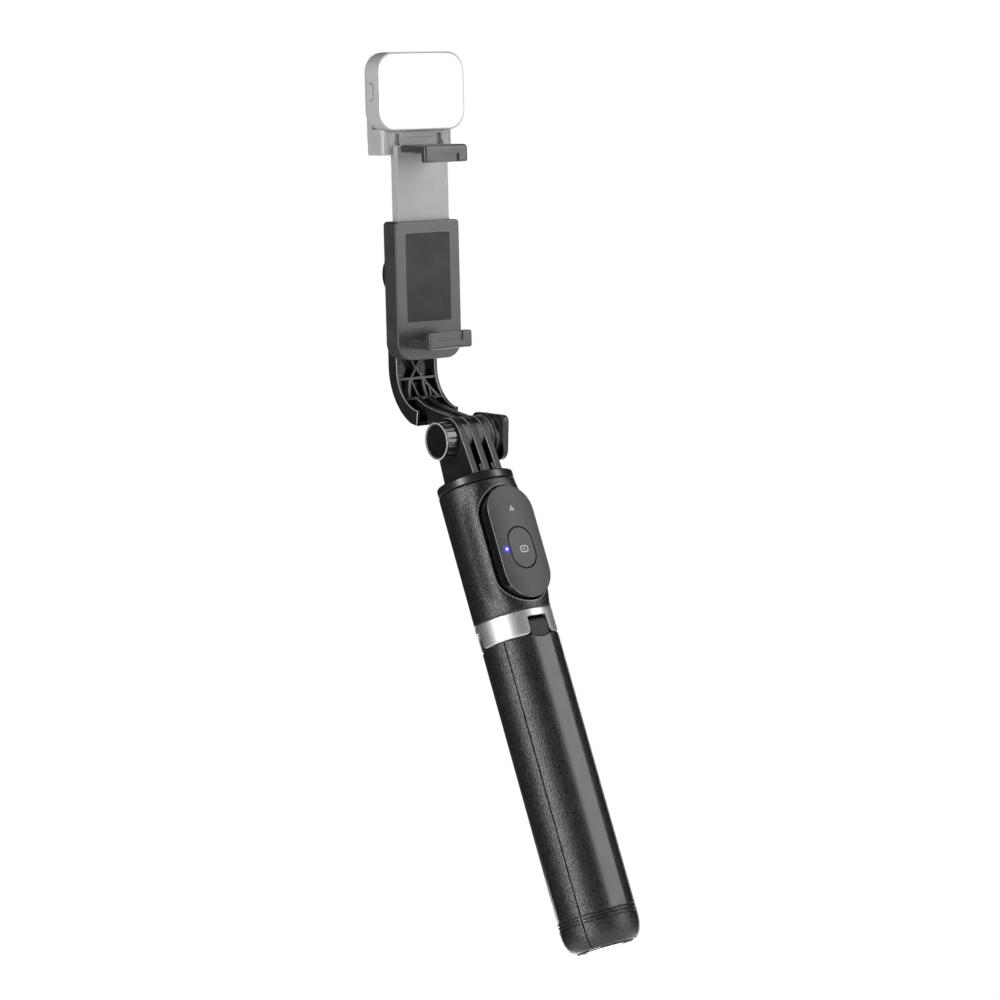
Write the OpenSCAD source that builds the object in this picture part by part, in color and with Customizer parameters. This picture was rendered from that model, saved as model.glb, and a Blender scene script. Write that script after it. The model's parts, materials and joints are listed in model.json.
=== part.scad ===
// Phone stick with a fold-out tripod grip, a telescopic pole and a sprung phone clamp.
// +Z runs up the stick, -Y is the front (remote and screen side), +X is the hinge nut's side.
// The origin is the centre of the closed grip's foot. Millimetres throughout.

/* [Grip] */
// Outer diameter of the grip and handle body
grip_d = 32; // [30:0.5:34]
// Height of the closed legs
leg_len = 125.6; // [115:0.2:126]
// Height of the silver collar
collar_h = 10.5; // [9.5:0.1:12]
// Height of the handle body above the collar
shell_h = 54.6; // [53:0.2:60]
// Height of the cap that pulls out
cap_h = 3.7; // [3:0.1:5]

/* [Remote] */
// Length of the remote
remote_len = 47; // [44:0.5:48]
// Width of the remote
remote_w = 22.6; // [21:0.2:24]
// Thickness of the remote
remote_t = 7; // [6.6:0.1:8]

/* [Pole] */
// Outer diameter of the fixed outer tube
tube_d = 15; // [14:0.2:16]
// Step in diameter from one tube to the next
tube_step = 1.6; // [1.6:0.1:2]
// Wall of the tubes
tube_wall = 0.35; // [0.3:0.05:0.4]

/* [Head] */
// Height of the hinge above the top of the cap
hinge_rise = 18; // [17:0.5:20]
// Forward tilt of the head at rest, in degrees
rest_tilt = 23.7; // [0:0.1:60]
// Gap between the jaws at rest
jaw_gap = 76.5; // [70:0.5:80]
// Width of the clamp's back plate
plate_w = 32.4; // [30:0.2:36]
// Width of the fill light
light_w = 43.6; // [40:0.2:48]
// Height of the fill light
light_h = 31.6; // [28:0.2:34]

/* [Hidden] */
$fn = 64;
grip_r = grip_d / 2;
foot_gap = 0.4;                       // the rubber feet stand proud of the legs
collar_z = leg_len + 0.3;
shell_z = collar_z + collar_h;
cap_z = shell_z + shell_h + 0.3;
cap_top = cap_z + cap_h;
hinge_z = cap_top + hinge_rise;
shell_bore = grip_r - 2.5;
hub_r = grip_r - 1.8;

// legs
leg_bore = grip_r - 3.4;
leg_gap = 0.3;                        // between two closed legs
flat_r = grip_r - 0.53;               // where the flat strip down each leg lies
notch_w = 9.5;
notch_h = 7.3;
pin_r = 12.3;                         // leg pin's distance from the axis
pin_z = collar_z + 4.3;
tongue_w = 8.7;
knuckle_r = 2.6;
groove_zs = [11.0, 12.3, 13.7];
leg_angles = [-90, 30, 150];

// remote
seat_z = shell_z + 27.1;
remote_half = (remote_len - remote_w) / 2;
remote_r = remote_w / 2;
face_y = -(grip_r + 2.5);
back_y = face_y + remote_t;
button_r = 5.85;
button_half = 2.6;
button_z = seat_z - 2.8;
led_x = -7.6;

// tubes: outer radius, foot and head of tube k
function tube_r(k) = (tube_d - (k - 1) * tube_step) / 2;
function tube_in(k) = tube_r(k) - tube_wall;
function tube_z0(k) = k == 1 ? 3 : 7 + k;
function tube_z1(k) = k == 1 ? cap_z - 1.1 : (k == 6 ? cap_z + 3.9 : cap_z - 0.6);

// hinge
prong_t = 3;
prong_pitch = 6;
prong_r = 9;
boss_x = 10.1;
bolt_r = 2.5;

// head, in its own frame: y points back from the hinge, v points up
plate_y = 20.5;                       // front face of the back plate
plate_back = 29.2;
plate_v = 31.2;
plate_top = 88;
lip_y = 6;
lip_t = 3.2;
lip_w = 21.6;
jaw_v = 39.4;                         // floor of the lower jaw
jaw_top_v = jaw_v + jaw_gap;
arm_w = 21;
arm_y0 = 30.2;
arm_y1 = 36;
swivel_v = 66;
tongue_v = 70;
bracket_w = 34.9;
bracket_v = jaw_top_v + 3;
light_y = 22.3;
light_back = 33;
light_v = bracket_v + 5.8;
light_mid = light_v + light_h / 2;

// ---------------------------------------------------------------- helpers

// a rod along X from x0 to x1
module rod_x(x0, x1, r) {
    translate([x0, 0, 0]) rotate([0, 90, 0]) cylinder(h = x1 - x0, r = r);
}

// a 2D slot shape standing along its second axis
module slot2(half, r) {
    translate([0, half]) circle(r);
    translate([0, -half]) circle(r);
    translate([-r, -half]) square([2 * r, 2 * half]);
}

// a 2D rectangle with round corners, centred
module round_rect(w, h, r) {
    translate([-w / 2 + r, -h / 2]) square([w - 2 * r, h]);
    translate([-w / 2, -h / 2 + r]) square([w, h - 2 * r]);
    for (x = [-1, 1], y = [-1, 1]) translate([x * (w / 2 - r), y * (h / 2 - r)]) circle(r);
}

// extrudes a front-view outline (x, z) from y0 back to y1
module plate_xz(y0, y1) {
    translate([0, y1, 0]) rotate([90, 0, 0]) linear_extrude(y1 - y0) children();
}

// extrudes a side-view outline (y, z) across x0 to x1
module plate_yz(x0, x1) {
    translate([x0, 0, 0]) rotate([90, 0, 90]) linear_extrude(x1 - x0) children();
}

// puts a piece drawn in the head's own frame on the hinge at its rest tilt
module in_head() {
    translate([0, 0, hinge_z]) rotate([rest_tilt, 0, 0]) children();
}

// a piece of the head turned to leg direction a, drawn with the leg along +X
module on_leg(a) {
    rotate([0, 0, a]) children();
}

// ---------------------------------------------------------------- handle

// raised lip around the remote's pocket
module remote_seat() intersection() {
    cylinder(h = cap_z, r = grip_r + 1.2);
    remote_seat_flanks();
}

module remote_seat_flanks() {
    y0 = -5;
    y1 = face_y + 3.2;
    r0 = grip_r - 0.8;
    r1 = remote_r + 1.6;
    for (s = [-1, 1]) translate([0, y0, seat_z + s * remote_half])
        rotate([90, 0, 0]) cylinder(h = y0 - y1, r1 = r0, r2 = r1);
    translate([0, 0, seat_z - remote_half]) linear_extrude(2 * remote_half)
        polygon([[-r0, y0], [r0, y0], [r1, y1], [-r1, y1]]);
}

module handle_shell() {
    color([0.07, 0.07, 0.075]) difference() {
        union() {
            translate([0, 0, shell_z]) cylinder(h = shell_h, r = grip_r);
            remote_seat();
        }
        translate([0, 0, shell_z - 1]) cylinder(h = shell_h - 1.4, r = shell_bore);
        translate([0, 0, shell_z]) cylinder(h = shell_h + 1, r = tube_r(1));
        translate([0, 0, seat_z]) plate_xz(face_y - 5, back_y + 0.1)
            slot2(remote_half, remote_r + 1);
    }
}

module remote_cradle() {
    color([0.1, 0.1, 0.1]) intersection() {
        translate([0, 0, seat_z]) union() {
            plate_xz(back_y + 0.1, back_y + 1.5) slot2(remote_half, remote_r - 0.3);
            for (s = [-1, 1]) translate([s * 6 - 0.6, back_y + 1.4, -14]) cube([1.2, 1.6, 28]);
        }
        translate([0, 0, seat_z - 30]) cylinder(h = 60, r = shell_bore);
    }
}

module collar() {
    edge = 0.5;
    color([0.78, 0.78, 0.8]) difference() {
        rotate_extrude() polygon([[hub_r, collar_z], [grip_r - edge, collar_z],
            [grip_r, collar_z + edge], [grip_r, shell_z - edge], [grip_r - edge, shell_z],
            [hub_r, shell_z]]);
        for (a = leg_angles) on_leg(a) {
            translate([8, -notch_w / 2, collar_z - 1]) cube([12, notch_w, notch_h + 1]);
            translate([pin_r, 0, pin_z]) rotate([90, 0, 0]) cylinder(h = 13.6, r = 1, center = true);
        }
    }
}

module leg_hub() {
    color([0.06, 0.06, 0.06]) difference() {
        union() {
            translate([0, 0, collar_z + 0.3]) cylinder(h = collar_h - 0.3, r = hub_r);
            translate([0, 0, shell_z]) cylinder(h = 2.6, r = shell_bore);
        }
        translate([0, 0, collar_z - 1]) cylinder(h = 30, r = tube_r(1));
        for (a = leg_angles) on_leg(a) {
            translate([8.8, -notch_w / 2, collar_z - 1]) cube([12, notch_w, notch_h + 1]);
            translate([pin_r, 0, pin_z]) rotate([90, 0, 0]) cylinder(h = 13.6, r = 1, center = true);
        }
    }
}

// side view of one leg as (r, z) points: rounded foot, bevelled top
function foot_arc(n = 8) = [for (i = [0:n]) [grip_r - 4.3 * (1 - sin(i * 90 / n)),
    foot_gap + 9 * (1 - cos(i * 90 / n))]];

module leg(a) {
    bevel = 0.8 * (grip_r - leg_bore);
    inner_foot = 8.6;
    color([0.07, 0.07, 0.075]) on_leg(a) difference() {
        union() {
            difference() {
                rotate([0, 0, -60]) rotate_extrude(angle = 120)
                    polygon(concat([[inner_foot, foot_gap]], foot_arc(),
                        [[grip_r, leg_len], [leg_bore, leg_len - bevel], [leg_bore, 12],
                        [inner_foot, 12]]));
                translate([flat_r, -10, -1]) cube([5, 20, leg_len + 5]);
                for (z = groove_zs) rotate([0, 0, -55.5]) rotate_extrude(angle = 111)
                    translate([grip_r - 0.45, z - 0.3]) square([2, 0.6]);
            }
            translate([pin_r - knuckle_r + 0.2, -tongue_w / 2, leg_len - 8])
                cube([flat_r - pin_r + knuckle_r - 0.2, tongue_w, 8 + 1.7]);
            translate([pin_r - knuckle_r, -tongue_w / 2, leg_len - 7])
                cube([2 * knuckle_r, tongue_w, pin_z - leg_len + 7]);
            translate([pin_r, 0, pin_z]) rotate([90, 0, 0])
                cylinder(h = tongue_w, r = knuckle_r, center = true);
        }
        translate([pin_r, 0, pin_z]) rotate([90, 0, 0]) cylinder(h = 20, r = 1.05, center = true);
        for (s = [-1, 1]) rotate([0, 0, s * 60]) translate([0, -leg_gap / 2, -1])
            cube([30, leg_gap, leg_len + 10]);
        leg_foot_solid();
    }
}

module leg_foot_solid() {
    rotate([0, 0, -46]) rotate_extrude(angle = 92) translate([9.4, 0]) square([2.2, 3]);
}

module leg_foot(a) {
    color([0.13, 0.13, 0.13]) on_leg(a) leg_foot_solid();
}

module leg_pin(a) {
    color([0.6, 0.6, 0.6]) on_leg(a) translate([pin_r, 0, pin_z]) rotate([90, 0, 0])
        cylinder(h = 13.4, r = 1, center = true);
}

module leg_front() { leg(leg_angles[0]); }
module leg_right() { leg(leg_angles[1]); }
module leg_left() { leg(leg_angles[2]); }
module leg_foot_front() { leg_foot(leg_angles[0]); }
module leg_foot_right() { leg_foot(leg_angles[1]); }
module leg_foot_left() { leg_foot(leg_angles[2]); }
module leg_pin_front() { leg_pin(leg_angles[0]); }
module leg_pin_right() { leg_pin(leg_angles[1]); }
module leg_pin_left() { leg_pin(leg_angles[2]); }

module tube_end_plug() {
    color([0.08, 0.08, 0.08]) {
        cylinder(h = tube_z0(1), r = tube_r(1));
        cylinder(h = tube_z0(1) + 4, r = tube_in(1));
    }
}

// ---------------------------------------------------------------- pole

// tube k, with its mouth rolled in to hold the next tube's sleeve
module tube(k) {
    roll = 3;
    color([0.72, 0.72, 0.74]) difference() {
        translate([0, 0, tube_z0(k)]) cylinder(h = tube_z1(k) - tube_z0(k), r = tube_r(k));
        translate([0, 0, tube_z0(k) - 1])
            cylinder(h = tube_z1(k) - tube_z0(k) + 1 - (k < 6 ? roll : -2), r = tube_in(k));
        if (k < 6) cylinder(h = 300, r = tube_r(k + 1) + 0.05);
    }
}

// split friction sleeve on the foot of tube k
module sleeve(k) {
    color([0.75, 0.6, 0.3]) translate([0, 0, tube_z0(k)]) difference() {
        cylinder(h = 10, r = tube_in(k - 1) - 0.05);
        translate([0, 0, -1]) cylinder(h = 12, r = tube_r(k));
        translate([0, -0.5, -1]) cube([20, 1, 12]);
    }
}

module tube_1() { tube(1); }
module tube_2() { tube(2); }
module tube_3() { tube(3); }
module tube_4() { tube(4); }
module tube_5() { tube(5); }
module tube_6() { tube(6); }
module sleeve_2() { sleeve(2); }
module sleeve_3() { sleeve(3); }
module sleeve_4() { sleeve(4); }
module sleeve_5() { sleeve(5); }
module sleeve_6() { sleeve(6); }

// ---------------------------------------------------------------- tilt hinge

module prong_outline() {
    base = 10.6;
    circle(prong_r);
    polygon([[-base, -hinge_rise], [base, -hinge_rise], [prong_r, 0], [-prong_r, 0]]);
}

module fork_head() {
    half = prong_pitch + prong_t / 2;
    slot = prong_pitch - prong_t;
    color([0.09, 0.09, 0.095]) difference() {
        union() {
            rotate_extrude() polygon([[0, cap_z], [grip_r - 0.6, cap_z], [grip_r - 0.1, cap_z + 0.5],
                [grip_r - 0.1, cap_top - 0.8], [grip_r - 0.9, cap_top], [0, cap_top]]);
            translate([0, 0, hinge_z]) plate_yz(-half, half) prong_outline();
            translate([0, 0, hinge_z]) rod_x(half, boss_x, prong_r - 0.6);
            translate([0, 0, hinge_z]) rod_x(half, half + 1.2, prong_r);
            translate([0, 0, hinge_z]) rod_x(half + 1.45, boss_x, prong_r);
        }
        for (s = [-1, 1]) difference() {
            translate([s * prong_pitch / 2 - slot / 2, -20, cap_top + 0.4]) cube([slot, 40, 60]);
            // step beside the prong's root
            translate([s * prong_pitch / 2 + slot / 2 - 1.4, -9.8, cap_top]) cube([2, 19.6, 4.2]);
        }
        translate([0, 0, hinge_z]) rod_x(-20, 20, bolt_r + 0.05);
        translate([0, 0, cap_z - 1]) cylinder(h = tube_z1(6) - cap_z + 1, r = tube_r(6));
    }
}

module hinge_bolt() {
    color([0.6, 0.6, 0.62]) translate([0, 0, hinge_z]) rod_x(-12, 13.8, bolt_r);
}

module hinge_knob() {
    r = 7.7;
    color([0.07, 0.07, 0.075]) translate([0, 0, hinge_z]) difference() {
        rotate([0, -90, 0]) rotate_extrude() polygon([[0, 7.9], [r - 0.3, 7.9], [r, 8.2],
            [r, 12.7], [r - 0.8, 13.5], [0, 13.5]]);
        for (i = [0:15]) rotate([i * 360 / 16, 0, 0]) translate([0, 0, r + 0.1])
            rod_x(-12.6, -7, 0.6);
        rod_x(-14, -13.2, r - 1.3);
        rod_x(-12, 0, bolt_r);
    }
}

module nut_block() {
    color([0.08, 0.08, 0.085]) translate([0, 0, hinge_z]) difference() {
        union() {
            rod_x(boss_x, boss_x + 2.8, prong_r + 0.6);
            rotate([rest_tilt, 0, 0]) plate_yz(boss_x + 2.5, boss_x + 5.4) hull() {
                translate([-9.2, 6.6]) circle(2.5);
                translate([7.6, 6.6]) circle(2.5);
                translate([4.6, -5]) circle(4.8);
                translate([-5.6, -5]) circle(4.8);
            }
        }
        translate([boss_x - 1, -4.1, -4.1]) cube([5.2, 8.2, 8.2]);
    }
}

module hinge_nut() {
    color([0.6, 0.6, 0.62]) translate([0, 0, hinge_z]) difference() {
        translate([boss_x + 0.1, -4.1, -4.1]) cube([4, 8.2, 8.2]);
        rod_x(0, 20, bolt_r + 0.06);
    }
}

// ---------------------------------------------------------------- arm

arm_c = [11.2, 28];                   // centre of the arm's outer bend
arm_r = arm_y1 - arm_c[0];
rim_c = [13.7, 27];                   // centre of its inner bend
rim_r = arm_y0 - rim_c[0];
arm_top = swivel_v;

function arc2(c, r, a0, a1, n) = [for (i = [0:n]) let (a = a0 + (a1 - a0) * i / n)
    c + r * [cos(a), sin(a)]];

// side view of the channel, less t from its inner rim
module arm_side(t = 0) {
    polygon(concat([[arm_y1, arm_top]], arc2(arm_c, arm_r, 0, -66, 12), [[17.2, 4.6],
        [16.2, 10.9 - t]], arc2(rim_c, rim_r + t, -72, 0, 10), [[arm_y0 + t, arm_top]]));
}

// side view of the back web
module arm_web() {
    wall = 1.8;
    polygon(concat([[arm_y1, arm_top]], arc2(arm_c, arm_r, 0, -66, 12), [[17.2, 4.6],
        [17.2, 6.4]], arc2(arm_c, arm_r - wall, -66, 0, 12), [[arm_y1 - wall, arm_top]]));
}

// a diagonal rib in the channel, from (x, v) a to b, as deep as the channel
module arm_rib(a, b) {
    d = b - a;
    length = norm(d);
    intersection() {
        translate([a[0], 0, a[1]]) rotate([0, -atan2(d[1], d[0]), 0])
            translate([0, 8, -0.45]) cube([length, 30, 0.9]);
        plate_yz(-arm_w / 2 + 0.5, arm_w / 2 - 0.5) arm_side(0.9);
    }
}

module arm() {
    side = 1.4;
    x1 = arm_w / 2;
    knuckle = prong_pitch - prong_t - 0.1;
    color([0.09, 0.09, 0.095]) in_head() difference() {
        union() {
            plate_yz(-x1, x1) arm_web();
            for (s = [-1, 1]) plate_yz(s < 0 ? -x1 : x1 - side, s < 0 ? -x1 + side : x1) arm_side();
            // swivel head
            translate([0, 0, swivel_v]) plate_xz(arm_y0, arm_y1) circle(12.5);
            // knuckles and the neck behind them
            for (s = [-1, 1]) translate([s * prong_pitch / 2, 0, 0]) {
                rod_x(-knuckle / 2, knuckle / 2, 9);
                plate_yz(-knuckle / 2, knuckle / 2)
                    polygon([[0, 9], [0, -2], [9, 2], [18, 4.6], [22, 7], [19.5, 11]]);
            }
            plate_yz(-7, 7) polygon([[13, 3.7], [18.5, 4.8], [18.5, 11], [13, 10]]);
            // ribs
            for (v = [15, 22.7, 36, 52]) arm_rib([-10, v], [10, v]);
            arm_rib([-9.5, 22.7], [9.5, 36]);
            arm_rib([-9.5, 36], [9.5, 22.7]);
            arm_rib([-9.5, 15], [-0.5, 22.7]);
            arm_rib([9.5, 15], [0.5, 22.7]);
            arm_rib([-9.5, 36], [9.5, 52]);
            arm_rib([-9.5, 52], [9.5, 36]);
        }
        rod_x(-20, 20, bolt_r + 0.06);
        translate([0, 0, swivel_v]) plate_xz(arm_y0 - 1, arm_y1 + 1) circle(2.55);
        translate([0, 0, swivel_v]) plate_xz(arm_y1 - 1.8, arm_y1 + 1) circle(5.2);
    }
}

// ---------------------------------------------------------------- clamp

module swivel_screw() {
    color([0.6, 0.6, 0.62]) in_head() translate([0, 0, swivel_v]) {
        plate_xz(plate_back - 1.4, arm_y1) circle(2.5);
        plate_xz(arm_y1 - 1.7, arm_y1 - 0.2) circle(5);
    }
}

module swivel_washer() {
    color([0.8, 0.8, 0.8]) in_head() translate([0, 0, swivel_v]) plate_xz(plate_back, arm_y0 - 0.1)
        difference() {
            circle(9);
            circle(2.5);
        }
}

rod_off = 10.4;
spring_off = 4.6;
cover_y = plate_back - 1.6;

module plate_outline() {
    r = 7;
    h = plate_top - plate_v;
    translate([0, plate_v + h / 2]) round_rect(plate_w, h, r);
    translate([-plate_w / 2, plate_top - 2 * r]) square([plate_w, 2 * r]);
}

module clamp_base() {
    lip_h = 5.2;
    color([0.42, 0.42, 0.43]) in_head() difference() {
        union() {
            plate_xz(plate_y, plate_back) plate_outline();
            // lower jaw
            translate([-lip_w / 2, lip_y, jaw_v - 3]) cube([lip_w, plate_y - lip_y + 2, 3]);
            translate([-lip_w / 2, lip_y, jaw_v - 2.2]) cube([lip_w, lip_t, lip_h + 2.2 - 1.2]);
        }
        // spring well and the slider's way, open upwards
        translate([-13, plate_y + 1.8, jaw_v + 1]) cube([26, cover_y - plate_y - 1.8, 80]);
        // seat of the rear cover
        translate([-14.6, cover_y, plate_v + 6]) cube([29.2, 10, 80]);
        // rod sockets
        for (s = [-1, 1]) translate([s * rod_off, plate_y + 4.3, plate_v + 3])
            cylinder(h = 20, r = 1.2);
        // shallow window in the lip
        translate([-6.5, lip_y - 1, jaw_v - 0.9]) cube([13, 1.8, 2.9]);
        // recess for the jaw pad and the back pad
        translate([-8, lip_y + lip_t + 1, jaw_v - 0.8]) cube([16, 8, 2]);
        translate([-11, plate_y - 1, 47]) cube([22, 1.8, 36]);
    }
}

module clamp_cover() {
    color([0.42, 0.42, 0.43]) in_head() difference() {
        translate([-14.5, cover_y, plate_v + 6.1]) cube([29, plate_back - cover_y, plate_top - plate_v - 6.1]);
        translate([0, 0, swivel_v]) plate_xz(20, 40) circle(2.5);
    }
}

module clamp_rod(s) {
    color([0.75, 0.75, 0.77]) in_head() translate([s * rod_off, plate_y + 4.3, plate_v + 3.1])
        cylinder(h = 66, r = 1.2);
}

// extension spring, as its envelope
module clamp_spring(s) {
    color([0.65, 0.65, 0.67]) in_head() translate([s * spring_off, plate_y + 4.3, jaw_v + 1])
        difference() {
            cylinder(h = tongue_v - jaw_v - 1, r = 2.2);
            translate([0, 0, 1]) cylinder(h = tongue_v - jaw_v - 3, r = 1.6);
        }
}

module clamp_rod_left() { clamp_rod(-1); }
module clamp_rod_right() { clamp_rod(1); }
module clamp_spring_left() { clamp_spring(-1); }
module clamp_spring_right() { clamp_spring(1); }

module jaw_pad_lower() {
    color([0.15, 0.15, 0.15]) in_head() translate([-8, lip_y + lip_t + 1, jaw_v - 0.8])
        cube([16, 8, 1.1]);
}

module jaw_pad_upper() {
    color([0.15, 0.15, 0.15]) in_head() translate([-8, lip_y + lip_t + 1, jaw_top_v - 0.3])
        cube([16, 8, 1.1]);
}

module back_pad() {
    color([0.15, 0.15, 0.15]) in_head() translate([-11, plate_y - 0.2, 47]) cube([22, 1, 36]);
}

// cradle under and behind the light: round front corners, shoulders that fall to the front
module cradle() {
    difference() {
        translate([0, 0, bracket_v - 4]) linear_extrude(15) hull() {
            for (s = [-1, 1]) translate([s * (bracket_w / 2 - 3.4), plate_y + 8.4]) circle(3.4);
            translate([-bracket_w / 2, 36]) square([bracket_w, 1]);
        }
        plate_yz(-30, 30) polygon([[20, light_v + 1.2], [26.2, light_v + 1.2],
            [36.4, bracket_v + 11], [40, bracket_v + 11.2], [40, 150], [20, 150]]);
        translate([0, 0, light_mid]) plate_xz(20, light_back)
            round_rect(light_w + 0.1, light_h + 0.1, 8);
    }
    translate([-bracket_w / 2, light_back, bracket_v]) cube([bracket_w, 4, 18]);
}

module clamp_slider() {
    lip_h = 5.2;
    yw = plate_y + 2;
    color([0.42, 0.42, 0.43]) in_head() difference() {
        union() {
            // tongue that runs in the base
            translate([-12.8, yw, tongue_v]) cube([25.6, 4.6, bracket_v - tongue_v]);
            cradle();
            // upper jaw
            translate([-lip_w / 2, lip_y, jaw_top_v]) cube([lip_w, plate_y + 6 - lip_y, 3]);
            translate([-lip_w / 2, lip_y, jaw_top_v - lip_h + 1.2]) cube([lip_w, lip_t, lip_h + 1]);
        }
        // trapezoid panel in the bracket's front
        translate([0, plate_y + 4, bracket_v + 0.9]) rotate([-90, 0, 0]) mirror([0, 1, 0])
            linear_extrude(2) polygon([[-12.5, 0], [12.5, 0], [10, 3.9], [-10, 3.9]]);
        // shallow window in the lip
        translate([-6.5, lip_y - 1, jaw_top_v - 2]) cube([13, 1.8, 2.9]);
        // jaw pad and rods
        translate([-8, lip_y + lip_t + 1, jaw_top_v - 1]) cube([16, 8, 1.8]);
        for (s = [-1, 1]) translate([s * rod_off, plate_y + 4.3, tongue_v - 1])
            cylinder(h = 54.5, r = 1.26);
    }
}

// ---------------------------------------------------------------- fill light

module light_housing() {
    color([0.4, 0.4, 0.41]) in_head() translate([0, 0, light_mid]) difference() {
        plate_xz(light_y, light_back) round_rect(light_w, light_h, 8);
        plate_xz(light_y - 1, light_back - 1.4) round_rect(light_w - 4.4, light_h - 4.4, 6);
        plate_xz(light_y - 1, light_y + 1.4) round_rect(light_w - 1.6, light_h - 1.6, 7.2);
        translate([-light_w / 2 - 1, 27, 0]) rotate([0, 90, 0]) linear_extrude(4)
            round_rect(7.2, 3.6, 1.75);
        translate([light_w / 2 - 3, 27, 0]) rotate([0, 90, 0]) linear_extrude(4)
            round_rect(9, 3.3, 1.6);
    }
}

module light_diffuser() {
    color([0.97, 0.97, 0.95]) in_head() translate([0, 0, light_mid]) {
        plate_xz(light_y - 0.6, light_y + 1.4) round_rect(light_w - 1.8, light_h - 1.8, 7.1);
        plate_xz(light_y - 1.3, light_y) round_rect(light_w - 6, light_h - 6, 6);
    }
}

module light_board() {
    color([0.1, 0.35, 0.2]) in_head() translate([0, 0, light_mid])
        plate_xz(light_y + 5, light_y + 6) round_rect(29, 26, 3);
}

module light_leds() {
    color([0.95, 0.85, 0.4]) in_head() for (x = [-1.5:1:1.5], v = [-1, 0, 1])
        translate([x * 7 - 1.4, light_y + 4.2, light_mid + v * 8 - 1.4]) cube([2.8, 0.8, 2.8]);
}

module light_battery() {
    color([0.7, 0.72, 0.75]) in_head() translate([0, 0, light_mid])
        plate_xz(light_y + 6.2, light_back - 1.5) round_rect(26, 24, 1.5);
}

module light_button() {
    color([0.15, 0.15, 0.15]) in_head() translate([0, 27, light_mid]) rotate([0, 90, 0]) {
        translate([0, 0, -light_w / 2 - 0.5]) linear_extrude(3) round_rect(6.8, 3.2, 1.55);
        translate([0, 0, -light_w / 2 + 2.3]) linear_extrude(0.8) round_rect(8.4, 4.6, 1.5);
    }
}

module light_port() {
    color([0.7, 0.7, 0.72]) in_head() translate([0, 27, light_mid]) rotate([0, 90, 0])
        difference() {
            translate([0, 0, light_w / 2 - 7]) linear_extrude(6.6) round_rect(8.9, 3.2, 1.55);
            translate([0, 0, light_w / 2 - 6]) linear_extrude(7) round_rect(8.3, 2.6, 1.25);
        }
}

// ---------------------------------------------------------------- remote

module remote_base() {
    color([0.03, 0.03, 0.03]) translate([0, 0, seat_z]) difference() {
        plate_xz(face_y + 1.6, back_y) slot2(remote_half, remote_r);
        plate_xz(face_y, back_y - 0.8) slot2(remote_half, remote_r - 1.1);
    }
}

module remote_face() {
    color([0.2, 0.2, 0.2]) difference() {
        translate([0, 0, seat_z]) plate_xz(face_y, face_y + 1.6) slot2(remote_half, remote_r);
        translate([0, 0, button_z]) plate_xz(face_y - 1, face_y + 3) slot2(button_half, button_r + 0.2);
        translate([led_x, 0, button_z]) plate_xz(face_y - 1, face_y + 3) circle(0.9);
    }
}

module remote_button() {
    color([0.22, 0.22, 0.22]) translate([0, 0, button_z]) {
        plate_xz(face_y + 0.1, face_y + 2.2) slot2(button_half, button_r);
        plate_xz(face_y + 2.1, face_y + 2.6) slot2(button_half, button_r + 0.6);
    }
}

module remote_switch() {
    color([0.7, 0.7, 0.7]) translate([-1.5, face_y + 3.1, button_z - 1.5]) cube([3, 0.5, 3]);
}

module remote_board() {
    color([0.1, 0.35, 0.2]) translate([0, 0, seat_z]) plate_xz(face_y + 3.6, face_y + 4.2)
        slot2(remote_half, remote_r - 1.3);
}

module remote_cell() {
    color([0.75, 0.75, 0.76]) translate([0, 0, seat_z + 3]) plate_xz(face_y + 4.2, back_y - 0.8)
        circle(8);
}

module remote_led() {
    color([0.2, 0.3, 1]) translate([led_x, 0, button_z]) plate_xz(face_y + 0.1, face_y + 3.6)
        circle(0.85);
}

// ---------------------------------------------------------------- assembly

handle_shell();
remote_cradle();
collar();
leg_hub();
leg_front();
leg_left();
leg_right();
leg_pin_front();
leg_pin_left();
leg_pin_right();
leg_foot_front();
leg_foot_left();
leg_foot_right();
tube_end_plug();
tube_1();
tube_2();
tube_3();
tube_4();
tube_5();
tube_6();
sleeve_2();
sleeve_3();
sleeve_4();
sleeve_5();
sleeve_6();
fork_head();
hinge_bolt();
hinge_knob();
nut_block();
hinge_nut();
arm();
swivel_screw();
swivel_washer();
clamp_base();
clamp_cover();
clamp_slider();
clamp_rod_left();
clamp_rod_right();
clamp_spring_left();
clamp_spring_right();
jaw_pad_lower();
jaw_pad_upper();
back_pad();
light_housing();
light_diffuser();
light_board();
light_leds();
light_battery();
light_button();
light_port();
remote_base();
remote_face();
remote_button();
remote_board();
remote_cell();
remote_led();
remote_switch();
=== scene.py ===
"""Looks of the selfie stick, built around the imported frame.

Shapes are drawn in millimetres and become metres in piece(). Handle pieces are drawn in the
frame's own axes. Head pieces are drawn in the head's frame: x along the hinge, y back from the
hinge, v up the head, and piece() puts them on the hinge at its rest tilt.
"""
import json
import math

import bmesh
import bpy
from mathutils import Matrix, Vector

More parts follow.
